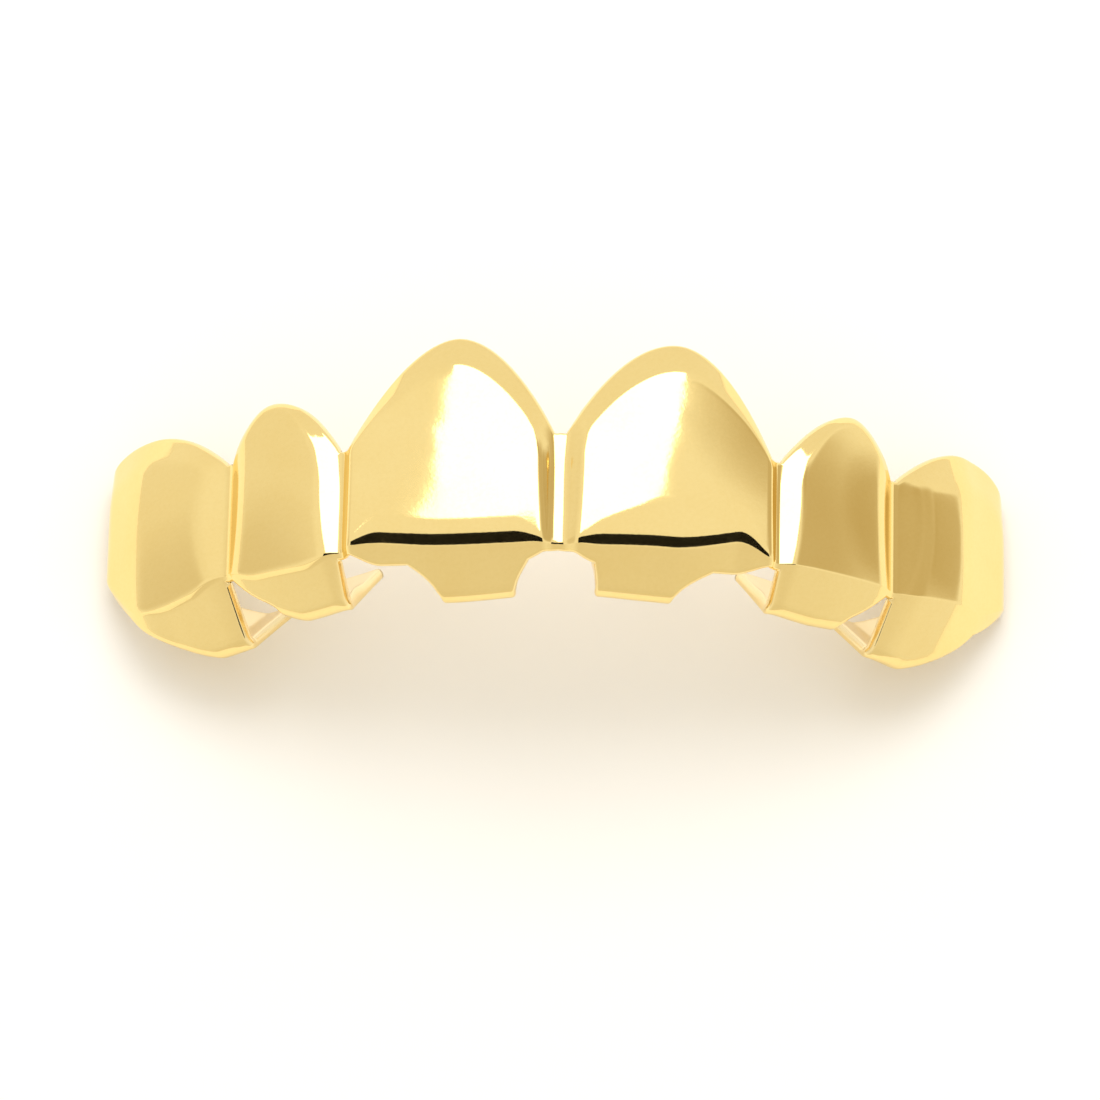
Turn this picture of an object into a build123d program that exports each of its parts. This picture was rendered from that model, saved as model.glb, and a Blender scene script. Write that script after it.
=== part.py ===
from build123d import *
import os
from math import atan, atan2, cos, degrees, hypot, radians, sin

# A cast cover for the six upper front teeth: one sheet of plated brass, bent round the teeth.
# It is worked out standing as it is worn, with X to the right, Y to the back and Z to the gum,
# and the origin between the two central caps. The finished solid is then laid on its back.

# Sizes along the arch, in mm
central_width = 10.25
lateral_width = 6.5
canine_width = 8.35
central_turn = 11.0      # degrees that each chord is turned from the front
lateral_turn = 33.0
canine_turn = 48.5
end_wrap = 50.0          # degrees that a canine's far edge is turned past its chord

# Heights above the crease, in mm
cap_height = 10.35       # top of a central gum arch
lateral_height = 8.25
canine_height = 8.1
centre_notch = 5.5       # gum line between the two central caps
side_notch = 5.05        # gum line between a central and a lateral cap
corner_notch = 5.6       # gum line between a lateral and a canine cap
end_height = 6.6         # gum line at the open end of a canine cap

# The caps' relief, in mm
wall = 0.5
panel_rise = 0.98        # panel in front of the valleys beside it
canine_rise = 1.38
web_half = 0.2           # half the flat valley between the two central caps
canine_flank = 2.7       # wide slope round the far side of a canine
end_rounding = 0.8       # reach of the curve round that side
bevel_width = 1.65       # bevelled border under the gum line
bevel_drop = 0.55
bow = 0.25               # how far a panel bends back towards its two ends
valley_rounding = 0.12   # radius at the bottom of a valley, for flanks of slope one
edge_rounding = 0.2      # reach of the round between panel, flank and bevel

# Bend and roll above the crease, lip, fold and back tab, in mm and degrees from the vertical
bend_radius = 8.0
bend_slope = 10.0        # where the roll takes over from the bend
roll_radius = 2.4
roll_slope = 24.0        # at the crease
ledge = 0.18             # step under the crease of some caps
lip_slope = 33.0
lip_length = 2.05
valley_lip = 0.35        # what is left of the lip at a notch
bare_lip = 1.0           # lip beside a tab
fold_radius = 0.68
tab_slope = 132.0        # past the fold
tab_length = 3.6
notch_reach = 2.0        # how far beside a notch the crease and the lip thin out

# Fineness of the facets, in mm
fine_step = 0.34         # up to fine_reach from a valley
coarse_step = 1.0
fine_reach = 1.3

# The three kinds of cap
KINDS = {
    "central": dict(width=central_width, turn=central_turn, height=cap_height, rise=panel_rise),
    "lateral": dict(width=lateral_width, turn=lateral_turn, height=lateral_height, rise=panel_rise),
    "canine": dict(width=canine_width, turn=canine_turn, height=canine_height, rise=canine_rise),
}
NOTCHES = [centre_notch, side_notch, corner_notch, end_height]

# One row for each cap, from left to right. Lengths are shares of the sizes above.
# width, height, rise: of the cap's own kind. top: place of the arch's highest point. near, far:
# fullness of the arch on the side of the middle and away from it. crown: depth of the panel's
# sideways curve at the gum and at the crease, of its rise. lean: slope of the panel against its
# chord. twist: slope that the panel gains down to the crease. wrap: width of the wide flank round a
# far side. drop, bevel: depth of the bevelled border, and its width at the near side, the top and
# the far side. web: flat valley at the near side. near_slope, far_slope: flanks beside the panel.
# bend, roll: radii above the crease, the bend's at the near side, the middle and the far side.
# ledge: step under the crease. lift: how far the crease climbs at those three places, of the lip.
# lip: its length. tuck: how far the open end is drawn up, of it. cusp: place of its longest point.
# cut_near, cut_far: how much of it is missing at the tab's two corners. tab: its near and far side
# at the root, the fold and the tip.
CAPS = [
    dict(kind="canine", side=-1, width=1.03, height=0.965, rise=1.0, top=0.54, near=1.9, far=3.1,
         crown=(0.15, 0.15), lean=0.17, twist=0.0, wrap=1.25, drop=0.6, bevel=(0.4, 0.9, 1.15), web=0.0,
         near_slope=0.6, far_slope=1.3, bend=(0.1, 0.1, 0.1), roll=0.55, ledge=1.0,
         lift=(-0.15, -0.45, 0.0), lip=1.63, tuck=0.8, cusp=0.24, cut_near=0.10, cut_far=0.68,
         tab=((0.01, 0.82), (0.02, 0.70), (0.08, 0.60))),
    dict(kind="lateral", side=-1, width=0.985, height=0.985, rise=0.75, top=0.62, near=2.0, far=2.2,
         crown=(0.28, 0.28), lean=0.0, twist=0.0, wrap=0.0, drop=0.6, bevel=(0.85, 0.22, 0.35), web=0.0,
         near_slope=0.75, far_slope=0.65, bend=(0.1, 0.1, 0.1), roll=0.55, ledge=1.0,
         lift=(-0.2, -0.2, -0.2), lip=1.2, tuck=0.0, cusp=0.42, cut_near=0.12, cut_far=0.20,
         tab=((0.02, 0.97), (0.03, 0.62), (0.08, 0.55))),
    dict(kind="central", side=-1, width=0.99, height=1.0, rise=1.0, top=0.48, near=1.85, far=1.85,
         crown=(0.32, 0.12), lean=0.0, twist=0.05, wrap=0.0, drop=1.0, bevel=(0.6, 1.0, 0.2), web=1.0,
         near_slope=1.2, far_slope=2.5, bend=(1.0, 1.0, 1.0), roll=1.0, ledge=0.0,
         lift=(0.0, -0.05, 0.1), lip=1.10, tuck=0.0, cusp=0.50, cut_near=0.10, cut_far=0.0,
         tab=((0.13, 0.70), (0.21, 0.55), (0.24, 0.50))),
    dict(kind="central", side=1, width=1.0, height=0.995, rise=1.0, top=0.53, near=1.9, far=1.95,
         crown=(0.28, 0.28), lean=0.0, twist=-0.015, wrap=0.0, drop=1.0, bevel=(0.6, 1.0, 0.2), web=1.0,
         near_slope=1.2, far_slope=2.5, bend=(0.3, 2.5, 1.2), roll=1.0, ledge=0.0,
         lift=(-0.08, 0.03, 0.45), lip=0.96, tuck=0.0, cusp=0.50, cut_near=0.0, cut_far=0.0,
         tab=((0.16, 0.73), (0.19, 0.55), (0.23, 0.52))),
    dict(kind="lateral", side=1, width=1.015, height=0.99, rise=0.75, top=0.62, near=1.7, far=2.0,
         crown=(0.28, 0.28), lean=0.0, twist=0.0, wrap=0.0, drop=0.6, bevel=(0.75, 0.28, 0.4), web=0.0,
         near_slope=0.75, far_slope=0.65, bend=(0.1, 0.1, 0.1), roll=0.15, ledge=0.0,
         lift=(0.0, 0.0, 0.0), lip=1.02, tuck=0.0, cusp=0.42, cut_near=0.10, cut_far=0.04,
         tab=((0.02, 0.97), (0.03, 0.64), (0.08, 0.55))),
    dict(kind="canine", side=1, width=0.985, height=0.985, rise=1.0, top=0.58, near=1.9, far=3.0,
         crown=(0.15, 0.15), lean=0.17, twist=0.0, wrap=1.6, drop=0.6, bevel=(0.35, 1.1, 1.25), web=0.0,
         near_slope=0.6, far_slope=1.3, bend=(0.1, 0.1, 0.1), roll=0.15, ledge=0.0,
         lift=(0.0, 0.1, 0.0), lip=1.45, tuck=0.6, cusp=0.27, cut_near=0.10, cut_far=0.75,
         tab=((0.01, 0.86), (0.02, 0.70), (0.08, 0.60))),
]

# How the caps bend, as slopes and shares
FLANK_SLOPE = 0.12       # wide flank round a canine's far side, against its chord
END_HOLD = 0.6           # share of the bow that is lost at that end
END_START = 0.6          # where a canine's open end starts, of the cap's width
NOTCH_ROUND = 0.045      # share of an arch's half that its notch takes
SLOPE_STEP = 0.01        # half the share of a cap or its height over which a slope is read
BOW_MIDDLE = 0.45        # height where a panel stands furthest out
BOW_REACH = 0.5          # share of the height over which the whole bow is reached
WEB_SLOPE = 0.12         # of the flat valley itself
BEVEL_CORNER = 0.25      # rounding between panel and bevelled border, of the border's width
ROLL_END = 0.12          # share of the bend and the roll that is left at a valley
VALLEY_SHARE = 0.12      # share of a cap over which it turns to face as its neighbour does
END_SHARE = 0.5          # the same at an open end
LEDGE_END = (0.4, 0.6)   # where the ledge of a canine cap runs out, of the cap's width
LIP_FOLLOW = 0.7         # how much of the crease's climb the bare lip makes up for
CUT_POWER = 1.4          # how the lip's length falls off from the cusp
LEAST_FACING = 0.6       # the wall is thickened sideways no further than at this slope

# Rows of facets: shares of the way down a panel, and of the way from the crease to the bare lip
PANEL_ROWS = [0, 0.05, 0.1, 0.15, 0.22, 0.34, 0.5, 0.67, 0.82, 0.92, 1]
BEND_ROWS = 1
ROLL_ROWS = 2
LIP_ROWS = [0.18, 0.36, 0.56, 1]
TAB_LIP_ROWS = 2
FOLD_ROWS = 6
TAB_ROWS = 3
SETTLING_STEPS = 3       # turns towards the lie at rest


def ease(x):
    x = min(1, max(0, x))
    return x * x * (3 - 2 * x)


def between(values, u):
    """A value that eases from the near side's to the middle's and the far side's."""
    near, middle, far = values
    return near + (middle - near) * ease(2 * u) + (far - middle) * ease(2 * u - 1)


def soft_min(a, b, reach):
    """The lesser of two values, with the corner between them rounded over a reach."""
    share = min(1, max(0, 0.5 + 0.5 * (b - a) / reach))
    return b * (1 - share) + a * share - reach * share * (1 - share)


def flank(beside):
    """Rise beside a valley, from its rounded bottom, for a slope of one."""
    return hypot(max(0, beside), valley_rounding) - valley_rounding


class Cap:
    """One tooth's cap. A share u runs from the middle of the arch, 0, to the far side, 1."""

    def __init__(self, row, place, start, turns):
        kind = KINDS[row["kind"]]
        self.row = row
        self.side = row["side"]
        self.width = row["width"] * kind["width"]
        self.height = row["height"] * kind["height"]
        self.rise = row["rise"] * kind["rise"]
        self.turn = kind["turn"]
        self.last = row["kind"] == "canine"
        self.notch = NOTCHES[place : place + 2]
        self.start = start
        self.along = Vector(self.side * cos(radians(self.turn)), sin(radians(self.turn)), 0)
        self.out = self.outward(self.turn)
        before, after = turns
        self.near_turn = (before + self.turn) / 2
        self.far_turn = (after + self.turn) / 2

    def outward(self, turn):
        return Vector(self.side * sin(radians(turn)), -cos(radians(turn)), 0)

    def gum(self, u):
        """Height of the gum line, an arch between two notches."""
        top = self.row["top"]
        if u < top:
            low, share, power = self.notch[0], u / top, self.row["near"]
        else:
            low, share, power = self.notch[1], (1 - u) / (1 - top), self.row["far"]
        share = max(0, (share - NOTCH_ROUND) / (1 - NOTCH_ROUND))
        return low + (self.height - low) * (1 - (1 - share) ** power)

    def gum_slope(self, u):
        low, high = max(0, u - SLOPE_STEP), min(1, u + SLOPE_STEP)
        return (self.gum(high) - self.gum(low)) / ((high - low) * self.width)

    def end(self, u):
        """0 over most of a canine cap, rising to 1 at its open end."""
        return max(0, (u - END_START) / (1 - END_START)) if self.last else 0

    def depth(self, u, z):
        """How far the outside stands in front of the chord."""
        row = self.row
        x = u * self.width
        left = self.width - x
        near = row["near_slope"] * flank(x - row["web"] * web_half) + row["web"] * WEB_SLOPE * x
        far = row["far_slope"] * (left if self.last else flank(left))
        slope = row["lean"] + row["twist"] * (1 - z / self.height)
        high, low = row["crown"]
        crown = low + (high - low) * z / self.height
        panel = self.rise + slope * (x - self.width / 2) - crown * self.rise * (2 * u - 1) ** 2
        back = bow * ((z / self.height - BOW_MIDDLE) / BOW_REACH) ** 2
        if self.last:
            wide = row["wrap"] * canine_flank
            corner = self.rise + row["lean"] * (self.width / 2 - wide)
            panel = soft_min(panel, corner + FLANK_SLOPE * (left - wide), edge_rounding)
            back *= 1 - END_HOLD * ease(self.end(u))
        below = (self.gum(u) - z) / hypot(1, self.gum_slope(u))
        border = bevel_width * between(row["bevel"], u)
        bevel = row["drop"] * bevel_drop * soft_min(below / border - 1, 0, BEVEL_CORNER)
        face = soft_min(panel - back + bevel, near * (1 + bevel / self.rise), edge_rounding)
        return soft_min(face, far, end_rounding if self.last else edge_rounding)

    def middle(self, u):
        """0 at a notch, 1 once clear of it."""
        return ease(min(u, 1 - u) * self.width / notch_reach)

    def radii(self, u):
        """Radii of the bend and of the roll, which grow smaller at a notch."""
        share = ROLL_END + (1 - ROLL_END) * self.middle(u)
        return bend_radius * between(self.row["bend"], u) * share, roll_radius * self.row["roll"] * share

    def climb(self, u):
        """What the crease's height adds to the lip, but for the tuck of the open end."""
        beside = u if self.last else min(u, 1 - u)
        clear = ease(beside * self.width / notch_reach)
        return lip_length * between(self.row["lift"], u) * clear / cos(radians(lip_slope))

    def crease(self, u):
        """Height of the crease, where the roll ends in an edge over the lip."""
        tucked = self.row["tuck"] * lip_length * ease(self.end(u))
        return self.climb(u) * cos(radians(lip_slope)) + tucked

    def lip(self, u):
        """Length from the crease to the fold, longest at the cusp."""
        cusp = self.row["cusp"]
        near, far = self.row["tab"][1]
        if u < cusp:
            cut = self.row["cut_near"] * min(1, (cusp - u) / (cusp - near)) ** CUT_POWER
        else:
            cut = self.row["cut_far"] * min(1, (u - cusp) / (far - cusp)) ** CUT_POWER
        return self.row["lip"] * lip_length * (1 - cut) + self.climb(u)

    def bare_lip(self, u):
        """Length of the lip beside the tab."""
        lip = valley_lip + (bare_lip - valley_lip) * self.middle(u) + LIP_FOLLOW * self.climb(u)
        return max(lip, valley_lip)

    def foot(self, u):
        """Height where the panel starts to bend, its slope there, and the reach of bend and roll."""
        bend, roll = self.radii(u)
        bent, rolled = radians(bend_slope), radians(roll_slope)
        crease, step = self.crease(u), SLOPE_STEP * self.height
        slope = atan((self.depth(u, crease + step) - self.depth(u, crease - step)) / (2 * step))
        height = crease + roll * (sin(rolled) - sin(bent)) + bend * (sin(bent) - sin(slope))
        return height, slope, bend * (bent - slope), roll * (rolled - bent)

    def facing(self, u):
        """Outward direction, turned gently across the valley to the next cap."""
        if u < 0.5:
            edge, share = self.near_turn, ease(u / VALLEY_SHARE)
        else:
            edge, share = self.far_turn, ease((1 - u) / (END_SHARE if self.last else VALLEY_SHARE))
        return self.outward(edge + (self.turn - edge) * share)

    def held(self, u):
        """How much of the ledge there is, none at a notch or at an open end."""
        start, stop = LEDGE_END
        return self.middle(u) * (1 - ease((u - start) / (stop - start)) if self.last else 1)

    def panel_point(self, u, z):
        """A point of the panel, and the way out of the metal there."""
        chord = self.start + self.along * (u * self.width)
        return chord + self.out * self.depth(u, z) + Vector(0, 0, z), self.facing(u)

    def lower_point(self, u, travel):
        """A point at a travel past the crease: up the roll if negative, else down the lip,
        round the fold and up the tab."""
        height, slope, bent, rolled = self.foot(u)
        place, facing = self.panel_point(u, height)
        bend, roll, lip, tab = (radians(a) for a in (bend_slope, roll_slope, lip_slope, tab_slope))
        if travel > 0:
            sunk = self.row["ledge"] * ledge * self.held(u)
            place -= facing * (sunk * min(1, travel / ledge) ** 0.5)
        travel += bent + rolled
        angle = slope
        stages = [
            (slope, bend, bent),
            (bend, roll, rolled),
            (lip, lip, self.lip(u)),
            (lip, tab, fold_radius * (tab - lip)),
            (tab, tab, tab_length),
        ]
        for first, last, length in stages:
            if travel > 0:
                part = min(travel, length)
                angle = first + (last - first) * part / length
                chordal, turned = (first + angle) / 2, (angle - first) / 2
                reach = part * (sin(turned) / turned if turned else 1)
                place += facing * (-reach * sin(chordal)) + Vector(0, 0, -reach * cos(chordal))
                travel -= part
        return place, facing * cos(angle) + Vector(0, 0, -sin(angle))

    def columns(self):
        """Shares where columns of facets stand, from the left, finer beside the valleys."""
        near, far = self.row["tab"][0]
        stops = [0, near, far, 1]
        for one in (fine_reach / self.width, 1 - fine_reach / self.width):
            if min(abs(one - stop) for stop in stops) * self.width > fine_step:
                stops.append(one)
        stops.sort()
        shares = [0]
        for low, high in zip(stops, stops[1:]):
            beside = min(low + high, 2 - low - high) / 2 * self.width
            step = coarse_step if beside > fine_reach else fine_step
            count = max(1, round((high - low) * self.width / step))
            shares += [low + (high - low) * k / count for k in range(1, count)] + [high]
        return shares[::-1] if self.side < 0 else shares


class Sheet:
    """The outside of the cover as triangles, with the way out of the metal at each corner."""

    def __init__(self):
        self.corners = []
        self.outs = []
        self.triangles = []

    def row(self, spots):
        """Corners for points and ways out, as their numbers."""
        first = len(self.corners)
        for point, out in spots:
            self.corners.append(point)
            self.outs.append(out)
        return list(range(first, len(self.corners)))

    def patch(self, grid):
        """Triangles between rows of corners, split along the shorter diagonal."""
        for upper, lower in zip(grid, grid[1:]):
            for k in range(len(upper) - 1):
                a, b, c, d = upper[k], upper[k + 1], lower[k + 1], lower[k]
                across = (self.corners[a] - self.corners[c]).length
                along = (self.corners[b] - self.corners[d]).length
                self.triangles += [(a, c, b), (a, d, c)] if across < along else [(a, d, b), (b, d, c)]

    def normals(self):
        total = [Vector(0, 0, 0) for _ in self.corners]
        for a, b, c in self.triangles:
            area = (self.corners[b] - self.corners[a]).cross(self.corners[c] - self.corners[a])
            for one in (a, b, c):
                total[one] += area
        return [n.normalized() for n in total]

    def thicken(self):
        """Corners and triangles of the closed wall: outside, inside and rim."""
        count = len(self.corners)
        inside = []
        for point, out, normal in zip(self.corners, self.outs, self.normals()):
            inside.append(point - out * (wall / max(LEAST_FACING, normal.dot(out))))
        skin = list(self.triangles)
        skin += [(a + count, c + count, b + count) for a, b, c in self.triangles]
        edges = [pair for a, b, c in self.triangles for pair in ((a, b), (b, c), (c, a))]
        known = set(edges)
        for a, b in edges:
            if (b, a) not in known:
                skin += [(b, a, a + count), (b, a + count, b + count)]
        return self.corners + inside, skin


def build_caps():
    """The six caps from left to right, each starting where the one nearer the middle ends."""
    halves = {}
    for side in (-1, 1):
        rows = [row for row in CAPS if row["side"] == side]
        rows.sort(key=lambda row: KINDS[row["kind"]]["turn"])
        turns = [KINDS[row["kind"]]["turn"] for row in rows]
        turns = [-turns[0]] + turns + [turns[-1] + end_wrap]
        start = Vector(0, 0, 0)
        halves[side] = []
        for place, row in enumerate(rows):
            cap = Cap(row, place, start, (turns[place], turns[place + 2]))
            start = start + cap.along * cap.width
            halves[side].append(cap)
    return halves[-1][::-1] + halves[1]


def add_panels(sheet, caps):
    """All panels and bare lips as one patch. Gives the lowest row of each cap, by share."""
    spots = [(cap, u) for cap in caps for u in cap.columns()[:-1]]
    spots.append((caps[-1], 1))
    feet = [cap.foot(u) for cap, u in spots]
    grid = []
    for down in PANEL_ROWS:
        heights = [cap.gum(u) + (foot[0] - cap.gum(u)) * down for (cap, u), foot in zip(spots, feet)]
        grid.append(sheet.row(cap.panel_point(u, z) for (cap, u), z in zip(spots, heights)))
    travels = []
    for k in range(1, BEND_ROWS + 1):
        travels.append([bent * (k / BEND_ROWS - 1) - rolled for _, _, bent, rolled in feet])
    for k in range(1, ROLL_ROWS + 1):
        travels.append([rolled * (k / ROLL_ROWS - 1) for _, _, _, rolled in feet])
    for down in LIP_ROWS:
        travels.append([cap.bare_lip(u) * down for cap, u in spots])
    for row in travels:
        grid.append(sheet.row(cap.lower_point(u, travel) for (cap, u), travel in zip(spots, row)))
    sheet.patch(grid)
    lowest = {cap: {} for cap in caps}
    for (cap, u), corner in zip(spots, grid[-1]):
        lowest[cap][u] = corner
    return lowest


def add_tab(sheet, cap, lowest):
    """A cap's tab, from its root on the bare lip down the lip, round the fold and up the back."""
    root, fold, tip = cap.row["tab"]
    shares = [u for u in lowest if root[0] <= u <= root[1]]
    width = root[1] - root[0]
    turned = fold_radius * radians(tab_slope - lip_slope)
    steps = [(0, k / TAB_LIP_ROWS) for k in range(1, TAB_LIP_ROWS + 1)]
    steps += [(1, k / FOLD_ROWS) for k in range(1, FOLD_ROWS + 1)]
    steps += [(2, k / TAB_ROWS) for k in range(1, TAB_ROWS + 1)]
    half = 1.5               # stages from the root to the middle of the fold, and on to the tip
    grid = [[lowest[u] for u in shares]]
    for stage, share in steps:
        way = (stage + share) / half
        if way <= 1:
            ends = [a + (b - a) * (1 - (1 - way) ** 2) for a, b in zip(root, fold)]
        else:
            ends = [a + (b - a) * ease(way - 1) for a, b in zip(fold, tip)]
        spots = []
        for one in shares:
            u = ends[0] + (ends[1] - ends[0]) * (one - root[0]) / width
            bare, lip = cap.bare_lip(one), cap.lip(u)
            travel = [bare + (lip - bare) * share, lip + turned * share, lip + turned + tab_length * share]
            spots.append(cap.lower_point(u, travel[stage]))
        grid.append(sheet.row(spots))
    sheet.patch(grid)


def balance(corners, skin):
    """Centre of mass of a closed skin of triangles."""
    weight, total = 0, Vector(0, 0, 0)
    for a, b, c in skin:
        p, q, r = corners[a], corners[b], corners[c]
        volume = p.dot(q.cross(r))
        weight += volume
        total += (p + q + r) * (volume / 4)
    return total * (1 / weight)


def lean_of(spots, middle):
    """Angle of the underside of flat spots (across, height) straight below a middle."""
    under = []
    for spot in sorted(spots):
        while len(under) > 1:
            (x0, z0), (x1, z1) = under[-2:]
            if (x1 - x0) * (spot[1] - z0) > (z1 - z0) * (spot[0] - x0):
                break
            under.pop()
        under.append(spot)
    for (x0, z0), (x1, z1) in zip(under, under[1:]):
        if x0 <= middle <= x1:
            return degrees(atan2(z1 - z0, x1 - x0))


def resting(corners, skin):
    """The corners turned so that the cover lies on its back as it rests by itself, on the ground."""
    corners = [p.rotate(Axis.X, -90) for p in corners]
    for _ in range(SETTLING_STEPS):
        middle = balance(corners, skin)
        lean = lean_of([(p.Y, p.Z) for p in corners], middle.Y)
        corners = [p.rotate(Axis.X, -lean) for p in corners]
        middle = balance(corners, skin)
        lean = lean_of([(p.X, p.Z) for p in corners], middle.X)
        corners = [p.rotate(Axis.Y, lean) for p in corners]
    low = Vector(*(min(tuple(p)[k] for p in corners) for k in range(3)))
    high = Vector(*(max(tuple(p)[k] for p in corners) for k in range(3)))
    ground = Vector((low.X + high.X) / 2, (low.Y + high.Y) / 2, low.Z)
    return [p - ground for p in corners]


sheet = Sheet()
caps = build_caps()
lowest = add_panels(sheet, caps)
for cap in caps:
    add_tab(sheet, cap, lowest[cap])
corners, skin = sheet.thicken()
corners = resting(corners, skin)
cover = Solid(Shell([Face(Wire.make_polygon([corners[k] for k in one])) for one in skin]))
cover.label = "tooth_cover"
print("triangles", len(skin), "volume", round(cover.volume, 2), "mm3")

os.makedirs("parts", exist_ok=True)
export_step(cover, "parts/tooth_cover.step")
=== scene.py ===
from math import cos, pi, radians, sin

import bpy
import numpy as np
from bpy.props import FloatProperty, FloatVectorProperty, PointerProperty
from bpy.types import Operator, Panel, PropertyGroup
from mathutils import Matrix, Vector


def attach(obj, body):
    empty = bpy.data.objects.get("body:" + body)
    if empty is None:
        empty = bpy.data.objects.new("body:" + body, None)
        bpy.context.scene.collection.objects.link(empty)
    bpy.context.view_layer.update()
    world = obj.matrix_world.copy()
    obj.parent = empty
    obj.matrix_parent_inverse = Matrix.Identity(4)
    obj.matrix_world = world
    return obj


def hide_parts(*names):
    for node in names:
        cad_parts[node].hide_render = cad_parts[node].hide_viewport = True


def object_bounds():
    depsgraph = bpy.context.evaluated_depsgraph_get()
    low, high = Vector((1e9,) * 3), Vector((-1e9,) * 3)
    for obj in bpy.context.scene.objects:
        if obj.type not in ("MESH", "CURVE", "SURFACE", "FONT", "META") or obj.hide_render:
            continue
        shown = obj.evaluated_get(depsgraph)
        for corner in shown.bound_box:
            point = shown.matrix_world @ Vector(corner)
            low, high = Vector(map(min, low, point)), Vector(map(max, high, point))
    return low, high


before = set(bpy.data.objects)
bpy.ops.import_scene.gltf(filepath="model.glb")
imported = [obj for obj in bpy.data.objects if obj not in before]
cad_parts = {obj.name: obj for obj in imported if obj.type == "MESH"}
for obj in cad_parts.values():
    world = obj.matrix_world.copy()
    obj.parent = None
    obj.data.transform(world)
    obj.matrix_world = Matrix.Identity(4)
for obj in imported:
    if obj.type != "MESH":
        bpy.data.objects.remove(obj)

bl_info = {
    "name": "Grillz Tooth Cover",
    "version": (1, 0, 0),
    "blender": (4, 5, 0),
    "location": "3D View > Sidebar > Tooth Cover",
    "description": "A gold-plated cover for the six upper front teeth, and the table it is photographed on",
    "category": "Add Mesh",
}

MM = 0.001
TINY = 1e-9              # keeps a division, or a test for equal shares, clear of rounding
CAD_BOX = [list(corner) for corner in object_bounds()]

# One row for each cap, from left to right. Lengths are shares of the sizes in the panel.
# width, height, rise: of the cap's own kind. top: place of the arch's highest point. near, far:
# fullness of the arch on the side of the middle and away from it. crown: depth of the panel's
# sideways curve at the gum and at the crease, of its rise. lean: slope of the panel against its
# chord. twist: slope that the panel gains down to the crease. wrap: width of the wide flank round a
# far side. drop, bevel: depth of the bevelled border, and its width at the near side, the top and
# the far side. web: flat valley at the near side. near_slope, far_slope: flanks beside the panel.
# bend, roll: radii above the crease, the bend's at the near side, the middle and the far side.
# ledge: step under the crease. lift: how far the crease climbs at those three places, of the lip.
# lip: its length. tuck: how far the open end is drawn up, of it. cusp: place of its longest point.
# cut_near, cut_far: how much of it is missing at the tab's two corners. tab: its near and far side
# at the root, the fold and the tip.
CAPS = [
    dict(kind="canine", side=-1, width=1.03, height=0.965, rise=1.0, top=0.54, near=1.9, far=3.1,
         crown=(0.15, 0.15), lean=0.17, twist=0.0, wrap=1.25, drop=0.6, bevel=(0.4, 0.9, 1.15), web=0.0,
         near_slope=0.6, far_slope=1.3, bend=(0.1, 0.1, 0.1), roll=0.55, ledge=1.0,
         lift=(-0.15, -0.45, 0.0), lip=1.63, tuck=0.8, cusp=0.24, cut_near=0.10, cut_far=0.68,
         tab=((0.01, 0.82), (0.02, 0.70), (0.08, 0.60))),
    dict(kind="lateral", side=-1, width=0.985, height=0.985, rise=0.75, top=0.62, near=2.0, far=2.2,
         crown=(0.28, 0.28), lean=0.0, twist=0.0, wrap=0.0, drop=0.6, bevel=(0.85, 0.22, 0.35), web=0.0,
         near_slope=0.75, far_slope=0.65, bend=(0.1, 0.1, 0.1), roll=0.55, ledge=1.0,
         lift=(-0.2, -0.2, -0.2), lip=1.2, tuck=0.0, cusp=0.42, cut_near=0.12, cut_far=0.20,
         tab=((0.02, 0.97), (0.03, 0.62), (0.08, 0.55))),
    dict(kind="central", side=-1, width=0.99, height=1.0, rise=1.0, top=0.48, near=1.85, far=1.85,
         crown=(0.32, 0.12), lean=0.0, twist=0.05, wrap=0.0, drop=1.0, bevel=(0.6, 1.0, 0.2), web=1.0,
         near_slope=1.2, far_slope=2.5, bend=(1.0, 1.0, 1.0), roll=1.0, ledge=0.0,
         lift=(0.0, -0.05, 0.1), lip=1.10, tuck=0.0, cusp=0.50, cut_near=0.10, cut_far=0.0,
         tab=((0.13, 0.70), (0.21, 0.55), (0.24, 0.50))),
    dict(kind="central", side=1, width=1.0, height=0.995, rise=1.0, top=0.53, near=1.9, far=1.95,
         crown=(0.28, 0.28), lean=0.0, twist=-0.015, wrap=0.0, drop=1.0, bevel=(0.6, 1.0, 0.2), web=1.0,
         near_slope=1.2, far_slope=2.5, bend=(0.3, 2.5, 1.2), roll=1.0, ledge=0.0,
         lift=(-0.08, 0.03, 0.45), lip=0.96, tuck=0.0, cusp=0.50, cut_near=0.0, cut_far=0.0,
         tab=((0.16, 0.73), (0.19, 0.55), (0.23, 0.52))),
    dict(kind="lateral", side=1, width=1.015, height=0.99, rise=0.75, top=0.62, near=1.7, far=2.0,
         crown=(0.28, 0.28), lean=0.0, twist=0.0, wrap=0.0, drop=0.6, bevel=(0.75, 0.28, 0.4), web=0.0,
         near_slope=0.75, far_slope=0.65, bend=(0.1, 0.1, 0.1), roll=0.15, ledge=0.0,
         lift=(0.0, 0.0, 0.0), lip=1.02, tuck=0.0, cusp=0.42, cut_near=0.10, cut_far=0.04,
         tab=((0.02, 0.97), (0.03, 0.64), (0.08, 0.55))),
    dict(kind="canine", side=1, width=0.985, height=0.985, rise=1.0, top=0.58, near=1.9, far=3.0,
         crown=(0.15, 0.15), lean=0.17, twist=0.0, wrap=1.6, drop=0.6, bevel=(0.35, 1.1, 1.25), web=0.0,
         near_slope=0.6, far_slope=1.3, bend=(0.1, 0.1, 0.1), roll=0.15, ledge=0.0,
         lift=(0.0, 0.1, 0.0), lip=1.45, tuck=0.6, cusp=0.27, cut_near=0.10, cut_far=0.75,
         tab=((0.01, 0.86), (0.02, 0.70), (0.08, 0.60))),
]

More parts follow.
